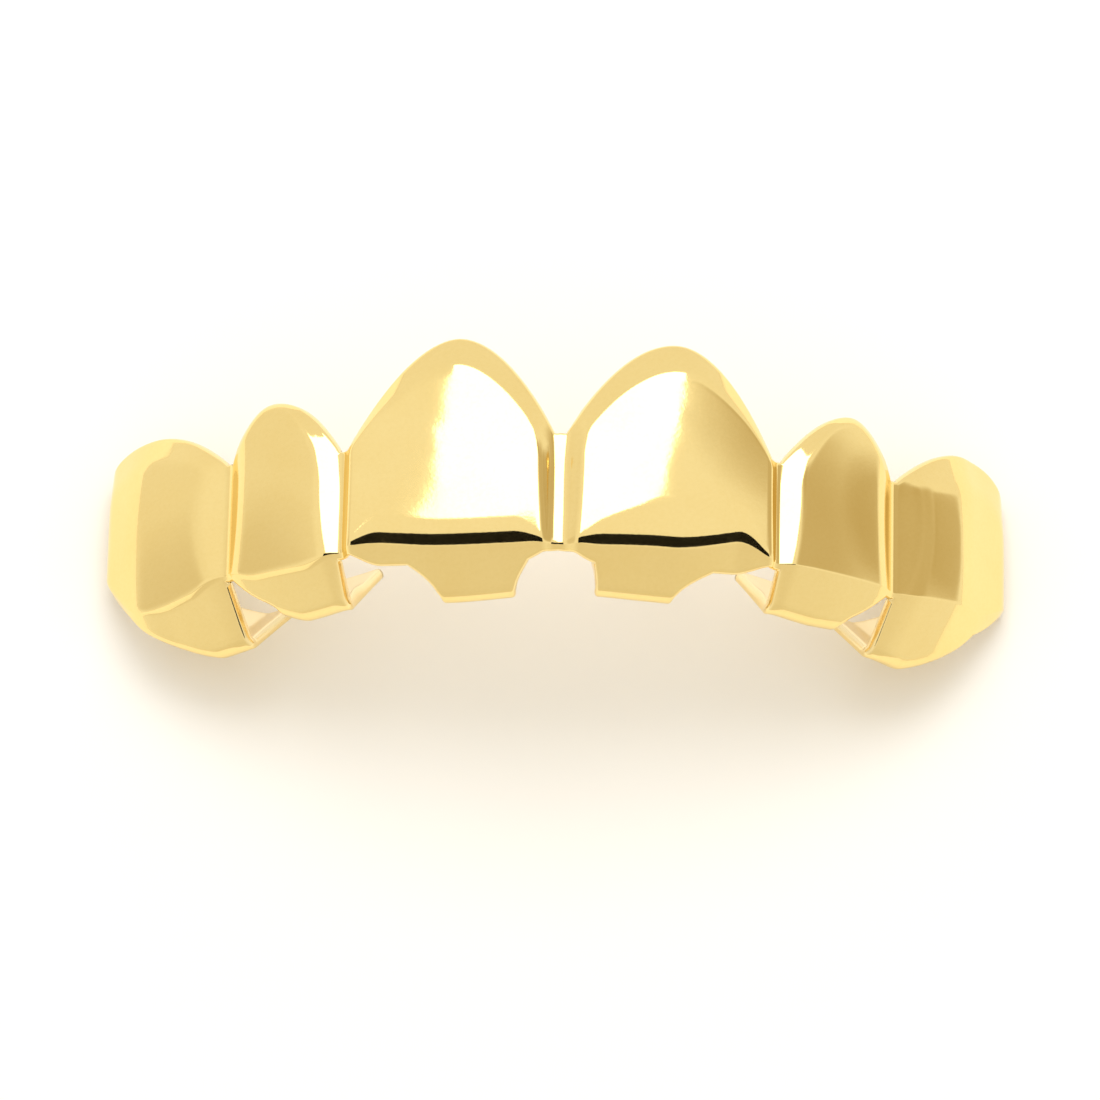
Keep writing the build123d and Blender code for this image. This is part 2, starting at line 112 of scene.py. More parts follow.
# How the caps bend, as slopes and shares
FLANK_SLOPE = 0.12       # wide flank round a canine's far side, against its chord
END_HOLD = 0.6           # share of the bow that is lost at that end
END_START = 0.6          # where a canine cap starts to change towards its open end, of its width
NOTCH_ROUND = 0.045      # share of an arch's half that its notch takes
SLOPE_STEP = 0.01        # half the share of a cap or its height over which a slope is read
BOW_MIDDLE = 0.45        # height where a panel stands furthest out
BOW_REACH = 0.5          # share of the height from there to where it has bent back by the whole bow
WEB_SLOPE = 0.12         # of the flat valley itself
BEVEL_CORNER = 0.25      # rounding between panel and bevelled border, of the border's width
ROLL_END = 0.12          # share of the roll that is left at a valley
VALLEY_SHARE = 0.12      # share of a cap over which it turns to face as its neighbour does
END_SHARE = 0.5          # the same for a canine cap, which turns to face as its open end does
LEDGE_END = (0.4, 0.6)   # where the ledge of a canine cap runs out, of the cap's width
LIP_FOLLOW = 0.7         # how much of the crease's climb the bare lip makes up for
CUT_POWER = 1.4          # how the lip's length falls off from the cusp
LEAST_FACING = 0.6       # the wall is thickened sideways no further than at this slope
TAB_MIDDLE = 1.5         # middle of a tab's three stages: its lip, its fold and its back
SEAM = 1e-7              # points of the inside and of the rim that are this close, in metres, are merged

# Rows of faces, from the gum line down
PANEL_ROWS = 64
BEND_ROWS = 6
ROLL_ROWS = 10
LIP_ROWS = 9
EDGE_SHARE = 0.03        # first and last row beside the crease, of a row's stretch
TAB_LIP_ROWS = 8
FOLD_ROWS = 10
TAB_ROWS = 22
RIM_STEPS = 8

# How the plate varies
GRAIN_SHARE = 0.4        # of its colour's change that follows the wheel's marks, not the patches
DULL_RANGE = 0.3, 0.75   # values of the patches' noise where the dullness starts and ends
DULLEST = 1.6            # roughness of the dullest patches, of the polish

# The stage, in metres but for the sensor's millimetres
SENSOR = 36.0
CLIP = (0.01, 20.0)
TABLE_SIZE = (6.0, 6.0)
PAPER_ROUGHNESS = 0.9
# Sizes of the softbox and of the dark card, and their places: how many degrees behind the cover they
# hang, how far aside and how far away
SOFTBOX, SOFTBOX_PLACE = (0.349, 0.33), (32, 0.015, 0.45)
DARK_CARD, DARK_CARD_PLACE = (0.387, 0.13), (-13, 0.0415, 0.30)
# Where the tent is open: a direction, the degrees from it where the dimness starts to fade and ends,
# and how dim it is at the most
OPENINGS = [
    ((0.80, 0.25, 0.50), (4, 24), 0.82),
    ((0.93, 0.32, 0.20), (5, 10.5), 0.77),
    ((0.565, 0.435, 0.70), (2, 12.5), 0.8),
    ((-0.93, 0.30, 0.22), (4, 34), 0.14),
    ((-0.93, 0.02, 0.30), (4, 22), 0.38),
    ((0.0, -1.0, 0.25), (15, 70), 0.4),
    ((0.0, 1.0, 0.15), (15, 55), 0.1),
]


def linear(hex_colour):
    """An sRGB hex colour as linear red, green and blue."""
    parts = [int(hex_colour[k:k + 2], 16) / 255 for k in (1, 3, 5)]
    return tuple(c / 12.92 if c <= 0.04045 else ((c + 0.055) / 1.055) ** 2.4 for c in parts)


def length(name, description, millimetres):
    return FloatProperty(name=name, description=description, default=millimetres * MM,
                         subtype="DISTANCE", unit="LENGTH", precision=5)


def angle(name, description, default):
    return FloatProperty(name=name, description=description, default=radians(default),
                         subtype="ANGLE", unit="ROTATION")


def number(name, description, default):
    return FloatProperty(name=name, description=description, default=default, precision=4)


def colour(name, description, hex_colour):
    return FloatVectorProperty(name=name, description=description, default=linear(hex_colour),
                               subtype="COLOR", size=3, min=0.0, max=1.0)


class ToothCoverSizes(PropertyGroup):
    """Real sizes of the cover, as worn."""

    central_width: length("Central width", "Chord of a central cap", 10.25)
    lateral_width: length("Lateral width", "Chord of a lateral cap", 6.5)
    canine_width: length("Canine width", "Chord of a canine cap", 8.35)
    central_turn: angle("Central turn", "Turn of a central cap from the front", 11)
    lateral_turn: angle("Lateral turn", "Turn of a lateral cap from the front", 33)
    canine_turn: angle("Canine turn", "Turn of a canine cap from the front", 48.5)
    end_wrap: angle("End wrap", "Turn of a canine's far edge past its chord", 50)
    cap_height: length("Central height", "Top of a central gum arch above the crease", 10.35)
    lateral_height: length("Lateral height", "Top of a lateral gum arch above the crease", 8.25)
    canine_height: length("Canine height", "Top of a canine gum arch above the crease", 8.1)
    centre_notch: length("Centre notch", "Gum line between the central caps", 5.5)
    side_notch: length("Side notch", "Gum line between a central and a lateral cap", 5.05)
    corner_notch: length("Corner notch", "Gum line between a lateral and a canine cap", 5.6)
    end_height: length("End height", "Gum line at the open end of a canine cap", 6.6)
    wall: length("Wall", "Thickness of the cast wall", 0.5)
    rim: length("Rim", "How far the rounded rim stands out of the wall's edge", 0.16)
    panel_rise: length("Panel rise", "Panel in front of the valleys beside it", 0.98)
    canine_rise: length("Canine rise", "Canine panel in front of its valley", 1.38)
    web_half: length("Web half width", "Half the flat valley between the central caps", 0.2)
    canine_flank: length("Canine flank", "Wide slope round a canine's far side", 2.7)
    end_rounding: length("End rounding", "Reach of the curve round a canine's far side", 0.8)
    bevel_width: length("Bevel width", "Bevelled border under the gum line", 1.65)
    bevel_drop: length("Bevel drop", "Depth of the bevelled border at the gum line", 0.55)
    bow: length("Bow", "How far a panel bends back towards its two ends", 0.25)
    valley_rounding: length("Valley rounding",
                            "Radius at the bottom of the valleys, for flanks of slope one", 0.12)
    edge_rounding: length("Edge rounding", "Reach of the round between panel, flank and bevel", 0.2)
    bend_radius: length("Bend radius", "Radius of the gentle bend over a central cap's roll", 8.0)
    bend_slope: angle("Bend slope", "Slope from the vertical where the roll takes over", 10)
    roll_radius: length("Roll radius", "Radius of the roll into the crease", 2.4)
    roll_slope: angle("Roll slope", "Slope from the vertical that the roll reaches at the crease", 24)
    ledge: length("Ledge", "Step under the crease of some caps", 0.18)
    lip_slope: angle("Lip slope", "Slope of the lip from the vertical", 33)
    lip_length: length("Lip length", "Crease to fold", 2.05)
    valley_lip: length("Valley lip", "What is left of the lip at a notch", 0.35)
    bare_lip: length("Bare lip", "Lip beside a tab", 1.0)
    least_lip: length("Least lip", "What a tab's lip has past the bare lip, at the least", 0.1)
    fold_radius: length("Fold radius", "Radius of the fold at the biting edge", 0.68)
    tab_slope: angle("Tab slope", "Slope of a back tab from the vertical, past the fold", 132)
    tab_length: length("Tab length", "Back tab from the fold to its tip", 3.6)
    notch_reach: length("Notch reach", "How far beside a notch the crease and the lip thin out", 2.0)
    spacing: length("Face size", "Width of the mesh's faces", 0.16)
    lean_back: angle("Lean back", "Lean from flat on its back to how it rests", -0.392)
    lean_side: angle("Lean side", "Sideways lean at rest", 0.19)


class ToothCoverFinish(PropertyGroup):
    """Colours and polish of the plated metal."""

    plate: colour("Plate", "Gold plate where it is clean", "#FFE7A2")
    plate_deep: colour("Plate, deeper", "Gold plate where it is a little thicker", "#F6D789")
    # Painted light: the inside's colour is made paler and less yellow than the plate to stand in for the
    # bright light that reaches the inside from the table; its cast finish itself is the cast roughness below
    inside: colour("Inside", "Plated brass inside, as it was cast", "#FFECC0")
    polish: number("Polish", "Roughness of the polished outside", 0.045)
    cast: number("Cast roughness", "Roughness of the unpolished inside", 0.32)
    ripple: length("Ripple", "Height of the waves that hand polishing leaves", 0.012)
    ripple_size: length("Ripple size", "Width of those waves", 2.6)
    grain: length("Grain", "Height of the fine marks of the polishing wheel", 0.0007)
    grain_size: length("Grain size", "Width of those marks", 0.18)
    patch_size: length("Patch size", "Width of the soft patches where the plate is thicker or duller", 3.5)


class ToothCoverStage(PropertyGroup):
    """Camera, table and lights."""

    elevation: angle("Camera elevation", "Camera above the horizon", 70.39)
    roll: angle("Camera roll", "Camera turned on its own axis", 1.3)
    distance: length("Camera distance", "Camera from the middle notch's foot", 330)
    lens: number("Lens", "Focal length in millimetres on a 36 mm sensor", 236.6)
    shift_right: number("Subject right", "Subject right of the picture's middle, of its width", 8 / 1100)
    shift_up: number("Subject up", "Subject above the picture's middle, of its width", 6 / 1100)
    table: colour("Table", "Cream paper on the table", "#FCFAF6")
    room: colour("Room", "White tent over the table", "#FFFDF8")
    room_dim: colour("Room, dim", "Where the tent is open to the warm room behind", "#C6B590")
    room_light: number("Room light", "Radiance of the tent", 0.97)
    key_light: number("Key light", "Radiance of the softbox overhead", 2.4)


def ease(x):
    x = np.clip(x, 0, 1)
    return x * x * (3 - 2 * x)


def between(values, u):
    """A value that eases from the near side's to the middle's and the far side's."""
    near, middle, far = values
    return np.where(u < 0.5, near + (middle - near) * ease(2 * u), middle + (far - middle) * ease(2 * u - 1))


def soft_min(a, b, reach):
    """The lesser of two values, with the corner between them rounded over a reach."""
    share = np.clip(0.5 + 0.5 * (b - a) / reach, 0, 1)
    return b * (1 - share) + a * share - reach * share * (1 - share)


class Cap:
    """One tooth's cap. A share u runs from the middle of the arch, 0, to the far side, 1.

    Points are as worn: X to the right, Y to the back, Z to the gum, from the middle crease."""

    def __init__(self, row, place, start, kinds, notches, sizes):
        kind = kinds[place + 1]
        before, after = kinds[place], kinds[place + 2]
        self.row = row
        self.sizes = sizes
        self.side = row["side"]
        self.width = row["width"] * kind["width"]
        self.height = row["height"] * kind["height"]
        self.rise = row["rise"] * kind["rise"]
        self.turn = kind["turn"]
        self.last = row["kind"] == "canine"
        self.notch = notches[place:place + 2]
        self.start = start
        self.along = np.array([self.side * cos(self.turn), sin(self.turn), 0])
        self.out = self.outward(self.turn)
        self.near_turn = (before["turn"] + self.turn) / 2
        self.far_turn = (after["turn"] + self.turn) / 2

    def outward(self, turn):
        turn = np.asarray(turn, float)
        return np.stack([self.side * np.sin(turn), -np.cos(turn), 0 * turn], -1)

    def gum(self, u):
        """Height of the gum line, an arch between two notches."""
        top = self.row["top"]
        near = u < top
        low = np.where(near, self.notch[0], self.notch[1])
        share = np.where(near, u / top, (1 - u) / (1 - top))
        power = np.where(near, self.row["near"], self.row["far"])
        share = np.clip((share - NOTCH_ROUND) / (1 - NOTCH_ROUND), 0, 1)
        return low + (self.height - low) * (1 - (1 - share) ** power)

    def gum_slope(self, u):
        low, high = np.maximum(0, u - SLOPE_STEP), np.minimum(1, u + SLOPE_STEP)
        return (self.gum(high) - self.gum(low)) / ((high - low) * self.width)

    def depth(self, u, z):
        """How far the outside stands in front of the chord."""
        s, row = self.sizes, self.row
        x = u * self.width
        left = self.width - x
        web = row["web"] * s.web_half
        near = row["near_slope"] * self.flank(x - web) + row["web"] * WEB_SLOPE * x
        far = row["far_slope"] * (left if self.last else self.flank(left))
        crest = self.rise + row["lean"] * (x - self.width / 2)
        slope = row["twist"] * (1 - z / self.height)
        high, low = row["crown"]
        crown = low + (high - low) * z / self.height
        panel = crest + slope * (x - self.width / 2) - crown * self.rise * (2 * u - 1) ** 2
        bow = s.bow * ((z / self.height - BOW_MIDDLE) / BOW_REACH) ** 2
        if self.last:
            wide = row["wrap"] * s.canine_flank
            corner = self.rise + row["lean"] * (self.width / 2 - wide)
            panel = soft_min(panel, corner + FLANK_SLOPE * (left - wide), s.edge_rounding)
            bow = bow * (1 - END_HOLD * ease(self.end(u)))
        below = (self.gum(u) - z) / np.hypot(1, self.gum_slope(u))
        border = between(row["bevel"], u)
        bevel = row["drop"] * s.bevel_drop * soft_min(below / (border * s.bevel_width) - 1, 0, BEVEL_CORNER)
        face = soft_min(panel - bow + bevel, near * (1 + bevel / self.rise), s.edge_rounding)
        return soft_min(face, far, s.end_rounding if self.last else s.edge_rounding)

    def middle(self, u):
        """0 at a notch, 1 once clear of it."""
        return ease(np.minimum(u, 1 - u) * self.width / self.sizes.notch_reach)

    def flank(self, beside):
        """Rise beside a valley, from its rounded bottom, for a slope of one."""
        return np.hypot(np.maximum(beside, 0), self.sizes.valley_rounding) - self.sizes.valley_rounding

    def radii(self, u):
        """Radii of the bend and of the roll, which grow smaller at a notch."""
        share = ROLL_END + (1 - ROLL_END) * self.middle(u)
        bend = self.sizes.bend_radius * between(self.row["bend"], u)
        return bend * share, self.sizes.roll_radius * self.row["roll"] * share

    def lip(self, u):
        """Length from the crease to the fold, longest at the cusp."""
        cusp = self.row["cusp"]
        near, far = self.row["tab"][1]
        to_near = self.row["cut_near"] * np.clip((cusp - u) / (cusp - near), 0, 1) ** CUT_POWER
        to_far = self.row["cut_far"] * np.clip((u - cusp) / (far - cusp), 0, 1) ** CUT_POWER
        left = 1 - np.where(u < cusp, to_near, to_far)
        return self.row["lip"] * self.sizes.lip_length * left + self.climb(u)

    def crease(self, u):
        """Height of the crease, where the roll ends in an edge over the lip."""
        tucked = self.row["tuck"] * self.sizes.lip_length * ease(self.end(u))
        return self.climb(u) * cos(self.sizes.lip_slope) + tucked

    def end(self, u):
        """0 over most of a canine cap, rising to 1 at its open end."""
        return np.clip((u - END_START) / (1 - END_START), 0, 1) if self.last else 0 * u

    def climb(self, u):
        """What the crease's height adds to the lip, but for the tuck of the open end."""
        beside = u if self.last else np.minimum(u, 1 - u)
        clear = ease(beside * self.width / self.sizes.notch_reach)
        return self.sizes.lip_length * between(self.row["lift"], u) * clear / cos(self.sizes.lip_slope)

    def foot(self, u):
        """Height where the panel starts to bend, its slope there, and the reach of bend and roll."""
        s = self.sizes
        bend, roll = self.radii(u)
        crease, step = self.crease(u), SLOPE_STEP * self.height
        slope = np.arctan((self.depth(u, crease + step) - self.depth(u, crease - step)) / (2 * step))
        bends, rolls = s.bend_slope - slope, s.roll_slope - s.bend_slope
        rise = roll * (sin(s.roll_slope) - sin(s.bend_slope)) + bend * (sin(s.bend_slope) - np.sin(slope))
        return crease + rise, slope, bend * bends, roll * rolls

    def facing(self, u):
        """Outward direction, turned gently across the valley to the next cap."""
        near = ease(u / VALLEY_SHARE)
        far = ease((1 - u) / (END_SHARE if self.last else VALLEY_SHARE))
        turn = np.where(u < 0.5, self.near_turn + (self.turn - self.near_turn) * near,
                        self.far_turn + (self.turn - self.far_turn) * far)
        return self.outward(turn)

    def bare_lip(self, u):
        """Length of the lip beside the tab."""
        s = self.sizes
        lip = s.valley_lip + (s.bare_lip - s.valley_lip) * self.middle(u) + LIP_FOLLOW * self.climb(u)
        return np.maximum(lip, s.valley_lip)

    def panel_point(self, u, z):
        """Points of the panel, and the way out of the metal there."""
        chord = self.start + u[..., None] * self.width * self.along
        point = chord + self.depth(u, z)[..., None] * self.out
        point[..., 2] += z
        return point, self.facing(u)

    def sunk(self, u, travel):
        """How far the ledge steps back, at a travel down from the crease."""
        start, stop = LEDGE_END
        held = 1 - ease((u - start) / (stop - start)) if self.last else 1
        step = self.row["ledge"] * self.sizes.ledge * self.middle(u) * held
        return step * np.clip(travel / self.sizes.ledge, 0, 1) ** 0.5

    def lower_point(self, u, travel):
        """Points at a travel past the crease: up the roll if negative, else down the lip,
        round the fold and up the tab."""
        s = self.sizes
        foot, slope, bent, rolled = self.foot(u)
        place, facing = self.panel_point(u, foot)
        travel = travel + bent + rolled
        stages = [
            (slope, s.bend_slope, bent),
            (s.bend_slope, s.roll_slope, rolled),
            (s.lip_slope, s.lip_slope, self.lip(u)),
            (s.lip_slope, s.tab_slope, s.fold_radius * (s.tab_slope - s.lip_slope) + 0 * u),
            (s.tab_slope, s.tab_slope, s.tab_length + 0 * u),
        ]
        for stage, (first, last, reach) in enumerate(stages):
            part = np.clip(travel, 0, reach)
            turned = (last - first) * part / np.maximum(reach, TINY)
            step = part * np.sinc(turned / 2 / pi)
            place = place - (step * np.sin(first + turned / 2))[..., None] * facing
            place[..., 2] -= step * np.cos(first + turned / 2)
            slope = np.where(travel > TINY, first + turned, slope)
            travel = travel - reach
            if stage == 1:
                place = place - self.sunk(u, travel)[..., None] * facing
        out = np.cos(slope)[..., None] * facing
        out[..., 2] -= np.sin(slope)
        return place, out

    def columns(self):
        """Shares where columns of faces stand, with the tab's two sides among them."""
        inset = self.sizes.rim / self.width
        near, far = self.row["tab"][0]
        stops = [0, near + inset, far - inset, 1 - inset if self.last else 1]
        shares = [0.0]
        for low, high in zip(stops, stops[1:]):
            count = max(1, round((high - low) * self.width / self.sizes.spacing))
            shares += list(np.linspace(low, high, count + 1)[1:])
        return np.array(shares), (stops[1], stops[2])


def build_caps(sizes):
    """The six caps from left to right, each starting where the one nearer the middle ends."""
    kinds = {
        "central": dict(width=sizes.central_width, turn=sizes.central_turn,
                        height=sizes.cap_height, rise=sizes.panel_rise),
        "lateral": dict(width=sizes.lateral_width, turn=sizes.lateral_turn,
                        height=sizes.lateral_height, rise=sizes.panel_rise),
        "canine": dict(width=sizes.canine_width, turn=sizes.canine_turn,
                       height=sizes.canine_height, rise=sizes.canine_rise),
    }
    order = ["central", "lateral", "canine"]
    notches = [sizes.centre_notch, sizes.side_notch, sizes.corner_notch, sizes.end_height]
    line = [dict(turn=-sizes.central_turn)] + [kinds[k] for k in order]
    line.append(dict(turn=sizes.canine_turn + sizes.end_wrap))
    halves = []
    for side in (-1, 1):
        rows = [row for row in CAPS if row["side"] == side][::side]
        start = np.zeros(3)
        half = []
        for place, row in enumerate(rows):
            cap = Cap(row, place, start, line, notches, sizes)
            start = start + cap.along * cap.width
            half.append(cap)
        halves.append(half)
    return halves[0][::-1] + halves[1]


def main_rows(cap, shares):
    """Rows of points of a cap's panel and bare lip."""
    s = cap.sizes
    top = cap.gum(shares) - s.rim * np.hypot(1, cap.gum_slope(shares))
    foot, _, bent, rolled = cap.foot(shares)
    rows = []
    for down in np.linspace(0, 1, PANEL_ROWS + 1):
        rows.append(cap.panel_point(shares, top + (foot - top) * down))
    for down in np.linspace(0, 1, BEND_ROWS + 1)[1:]:
        rows.append(cap.lower_point(shares, bent * (down - 1) - rolled))
    for down in [*np.linspace(0, 1, ROLL_ROWS + 1)[1:-1], 1 - EDGE_SHARE, 1]:
        rows.append(cap.lower_point(shares, rolled * (down - 1)))
    for down in [EDGE_SHARE, *np.linspace(0, 1, LIP_ROWS + 1)[1:]]:
        rows.append(cap.lower_point(shares, (cap.bare_lip(shares) - s.rim) * down))
    return rows


def tab_rows(cap, shares, root):
    """Rows of points of a cap's back tab, below its root on the bare lip."""
    s = cap.sizes
    inset = s.rim / cap.width
    fold, tip = ([side[0] + inset, side[1] - inset] for side in cap.row["tab"][1:])
    across = (shares - root[0]) / (root[1] - root[0])
    turned = s.fold_radius * (s.tab_slope - s.lip_slope)
    steps = [(0, k / TAB_LIP_ROWS) for k in range(1, TAB_LIP_ROWS + 1)]
    steps += [(1, k / FOLD_ROWS) for k in range(1, FOLD_ROWS + 1)]
    steps += [(2, k / TAB_ROWS) for k in range(1, TAB_ROWS + 1)]
    rows = []
    for stage, share in steps:
        way = stage + share
        if way <= TAB_MIDDLE:
            ends = [a + (b - a) * (1 - (1 - way / TAB_MIDDLE) ** 2) for a, b in zip(root, fold)]
        else:
            ends = [a + (b - a) * ease((way - TAB_MIDDLE) / TAB_MIDDLE) for a, b in zip(fold, tip)]
        u = ends[0] + (ends[1] - ends[0]) * across
        bare = cap.bare_lip(u) - s.rim
        lip = np.maximum(cap.lip(u), bare + s.least_lip)
        travels = (bare + (lip - bare) * share,
                   lip + turned * share,
                   lip + turned + (s.tab_length - s.rim) * share)
        rows.append(cap.lower_point(u, travels[stage]))
    return rows


def quads_of(index):
    """Faces between rows of corners, turned outwards."""
    corners = [index[:-1, :-1], index[1:, :-1], index[1:, 1:], index[:-1, 1:]]
    return np.stack([c.ravel() for c in corners], -1)


def build_sheet(sizes):
    """The outside of the cover: points, the way out of the metal at each, and faces."""
    points, outs, tabs = [], [], []
    width = 0
    caps = build_caps(sizes)
    for cap in caps:
        shares, root = cap.columns()
        if cap.side < 0:
            shares = shares[::-1]
        if cap is not caps[-1]:
            shares = shares[:-1]
        rows = main_rows(cap, shares)
        points.append(np.stack([row[0] for row in rows]))
        outs.append(np.stack([row[1] for row in rows]))
        held = np.flatnonzero((shares > root[0] - TINY) & (shares < root[1] + TINY))
        tabs.append((width + held, tab_rows(cap, shares[held], root)))
        width += len(shares)
    points, outs = np.concatenate(points, 1), np.concatenate(outs, 1)
    index = np.arange(points.shape[0] * width).reshape(-1, width)
    points, outs, quads = [points.reshape(-1, 3)], [outs.reshape(-1, 3)], [quads_of(index)]
    count = index.size
    for held, rows in tabs:
        size = len(rows) * len(held)
        below = np.arange(count, count + size).reshape(len(rows), -1)
        quads.append(quads_of(np.vstack([index[-1:, held], below])))
        points.append(np.concatenate([row[0] for row in rows]))
        outs.append(np.concatenate([row[1] for row in rows]))
        count += size
    return np.concatenate(points), np.concatenate(outs), np.concatenate(quads)


def edge_ways(points, quads):
    """Direction out of the sheet, in its surface, at each point of its edges."""
    diagonals = points[quads[:, 2]] - points[quads[:, 0]], points[quads[:, 3]] - points[quads[:, 1]]
    normals = np.cross(*diagonals)
    normals /= np.linalg.norm(normals, axis=1)[:, None]
    first = quads.ravel()
    second = np.roll(quads, -1, axis=1).ravel()
    forward = first * len(points) + second
    backward = second * len(points) + first
    lone = ~np.isin(forward, backward)
    along = points[second[lone]] - points[first[lone]]
    away = np.cross(along, np.repeat(normals, 4, axis=0)[lone])
    ways = np.zeros_like(points)
    np.add.at(ways, first[lone], away)
    np.add.at(ways, second[lone], away)
    size = np.linalg.norm(ways, axis=1)
    return ways / np.where(size > 0, size, 1)[:, None]


def laying(sizes):
    """Turn from how the cover is worn to how it rests on its back."""
    back = Matrix.Rotation(sizes.lean_back - pi / 2, 4, "X")
    return Matrix.Rotation(sizes.lean_side, 4, "Y") @ back


def add_node(tree, kind, inputs=None, **settings):
    """A node with its settings; inputs are values, or other nodes' outputs to link."""
    node = tree.nodes.new(kind)
    for name, value in settings.items():
        setattr(node, name, value)
    for key, value in (inputs or {}).items():
        for one in value if isinstance(value, list) else [value]:
            if isinstance(one, bpy.types.NodeSocket):
                tree.links.new(one, node.inputs[key])
            else:
                node.inputs[key].default_value = one
    return node


def wall_tree():
    """Geometry Nodes that give a sheet its wall: an inside, and a rounded rim along every edge."""
    tree = bpy.data.node_groups.new("Cast wall", "GeometryNodeTree")
    sockets = tree.interface
    sockets.new_socket("Sheet", in_out="INPUT", socket_type="NodeSocketGeometry")
    for name in ("Wall", "Rim", "Least facing"):
        sockets.new_socket(name, in_out="INPUT", socket_type="NodeSocketFloat")
    sockets.new_socket("Metal", in_out="INPUT", socket_type="NodeSocketMaterial")
    sockets.new_socket("Cover", in_out="OUTPUT", socket_type="NodeSocketGeometry")
    given = add_node(tree, "NodeGroupInput").outputs

    way, inward, root, edge_out = (
        add_node(tree, "GeometryNodeInputNamedAttribute", {"Name": name}, data_type="FLOAT_VECTOR").outputs[0]
        for name in ("way_out", "inward", "root", "edge_out")
    )
    normal = add_node(tree, "GeometryNodeInputNormal").outputs[0]
    facing = add_node(tree, "ShaderNodeVectorMath", {0: way, 1: normal},
                      operation="DOT_PRODUCT").outputs["Value"]
    facing = add_node(tree, "ShaderNodeMath", {0: facing, 1: given["Least facing"]},
                      operation="MAXIMUM").outputs[0]
    reach = add_node(tree, "ShaderNodeMath", {0: given["Wall"], 1: facing}, operation="DIVIDE").outputs[0]
    reach = add_node(tree, "ShaderNodeMath", {0: reach, 1: -1.0}, operation="MULTIPLY").outputs[0]
    through = add_node(tree, "ShaderNodeVectorMath", {0: way, "Scale": reach}, operation="SCALE").outputs[0]
    position = add_node(tree, "GeometryNodeInputPosition").outputs[0]
    sheet = given["Sheet"]
    for name, value in (("inward", through), ("root", position)):
        sheet = add_node(tree, "GeometryNodeStoreNamedAttribute",
                         {"Geometry": sheet, "Name": name, "Value": value},
                         data_type="FLOAT_VECTOR", domain="POINT").outputs[0]

    inside = add_node(tree, "GeometryNodeSetPosition", {"Geometry": sheet, "Offset": inward}).outputs[0]
    inside = add_node(tree, "GeometryNodeFlipFaces", {"Mesh": inside}).outputs[0]
    # This share is 1 inside and grows across the rim below. It picks the inside's cast roughness and its
    # paler colour, which is painted light
    inside = add_node(tree, "GeometryNodeStoreNamedAttribute",
                      {"Geometry": inside, "Name": "inside", "Value": 1.0},
                      data_type="FLOAT", domain="POINT").outputs[0]

    faces = add_node(tree, "GeometryNodeInputMeshEdgeNeighbors").outputs[0]
    lone = add_node(tree, "FunctionNodeCompare", {2: faces, 3: 1},
                    data_type="INT", operation="EQUAL").outputs[0]
    for step in range(1, RIM_STEPS + 1):
        turn = pi * step / RIM_STEPS
        grown = add_node(tree, "GeometryNodeExtrudeMesh",
                         {"Mesh": sheet, "Selection": lone, "Offset Scale": 0.0}, mode="EDGES").outputs
        height = add_node(tree, "ShaderNodeMath", {0: given["Rim"], 1: sin(turn)},
                          operation="MULTIPLY").outputs[0]
        rise = add_node(tree, "ShaderNodeVectorMath", {0: edge_out, "Scale": height},
                        operation="SCALE").outputs[0]
        across = add_node(tree, "ShaderNodeVectorMath", {0: inward, "Scale": (1 - cos(turn)) / 2},
                          operation="SCALE").outputs[0]
        place = add_node(tree, "ShaderNodeVectorMath", {0: root, 1: across}, operation="ADD").outputs[0]
        place = add_node(tree, "ShaderNodeVectorMath", {0: place, 1: rise}, operation="ADD").outputs[0]
        sheet = add_node(tree, "GeometryNodeSetPosition",
                         {"Geometry": grown["Mesh"], "Selection": grown["Top"], "Position": place}).outputs[0]
        sheet = add_node(tree, "GeometryNodeStoreNamedAttribute", {
            "Geometry": sheet, "Selection": grown["Top"], "Name": "inside", "Value": step / RIM_STEPS},
            data_type="FLOAT", domain="POINT").outputs[0]
        lone = grown["Top"]

    both = add_node(tree, "GeometryNodeJoinGeometry", {"Geometry": [inside, sheet]}).outputs[0]
    whole = add_node(tree, "GeometryNodeMergeByDistance", {"Geometry": both, "Distance": SEAM}).outputs[0]
    whole = add_node(tree, "GeometryNodeSetShadeSmooth", {"Geometry": whole}).outputs[0]
    whole = add_node(tree, "GeometryNodeRealizeInstances", {"Geometry": whole}).outputs[0]
    whole = add_node(tree, "GeometryNodeSetMaterial",
                     {"Geometry": whole, "Material": given["Metal"]}).outputs[0]
    add_node(tree, "NodeGroupOutput", {"Cover": whole})
    return tree


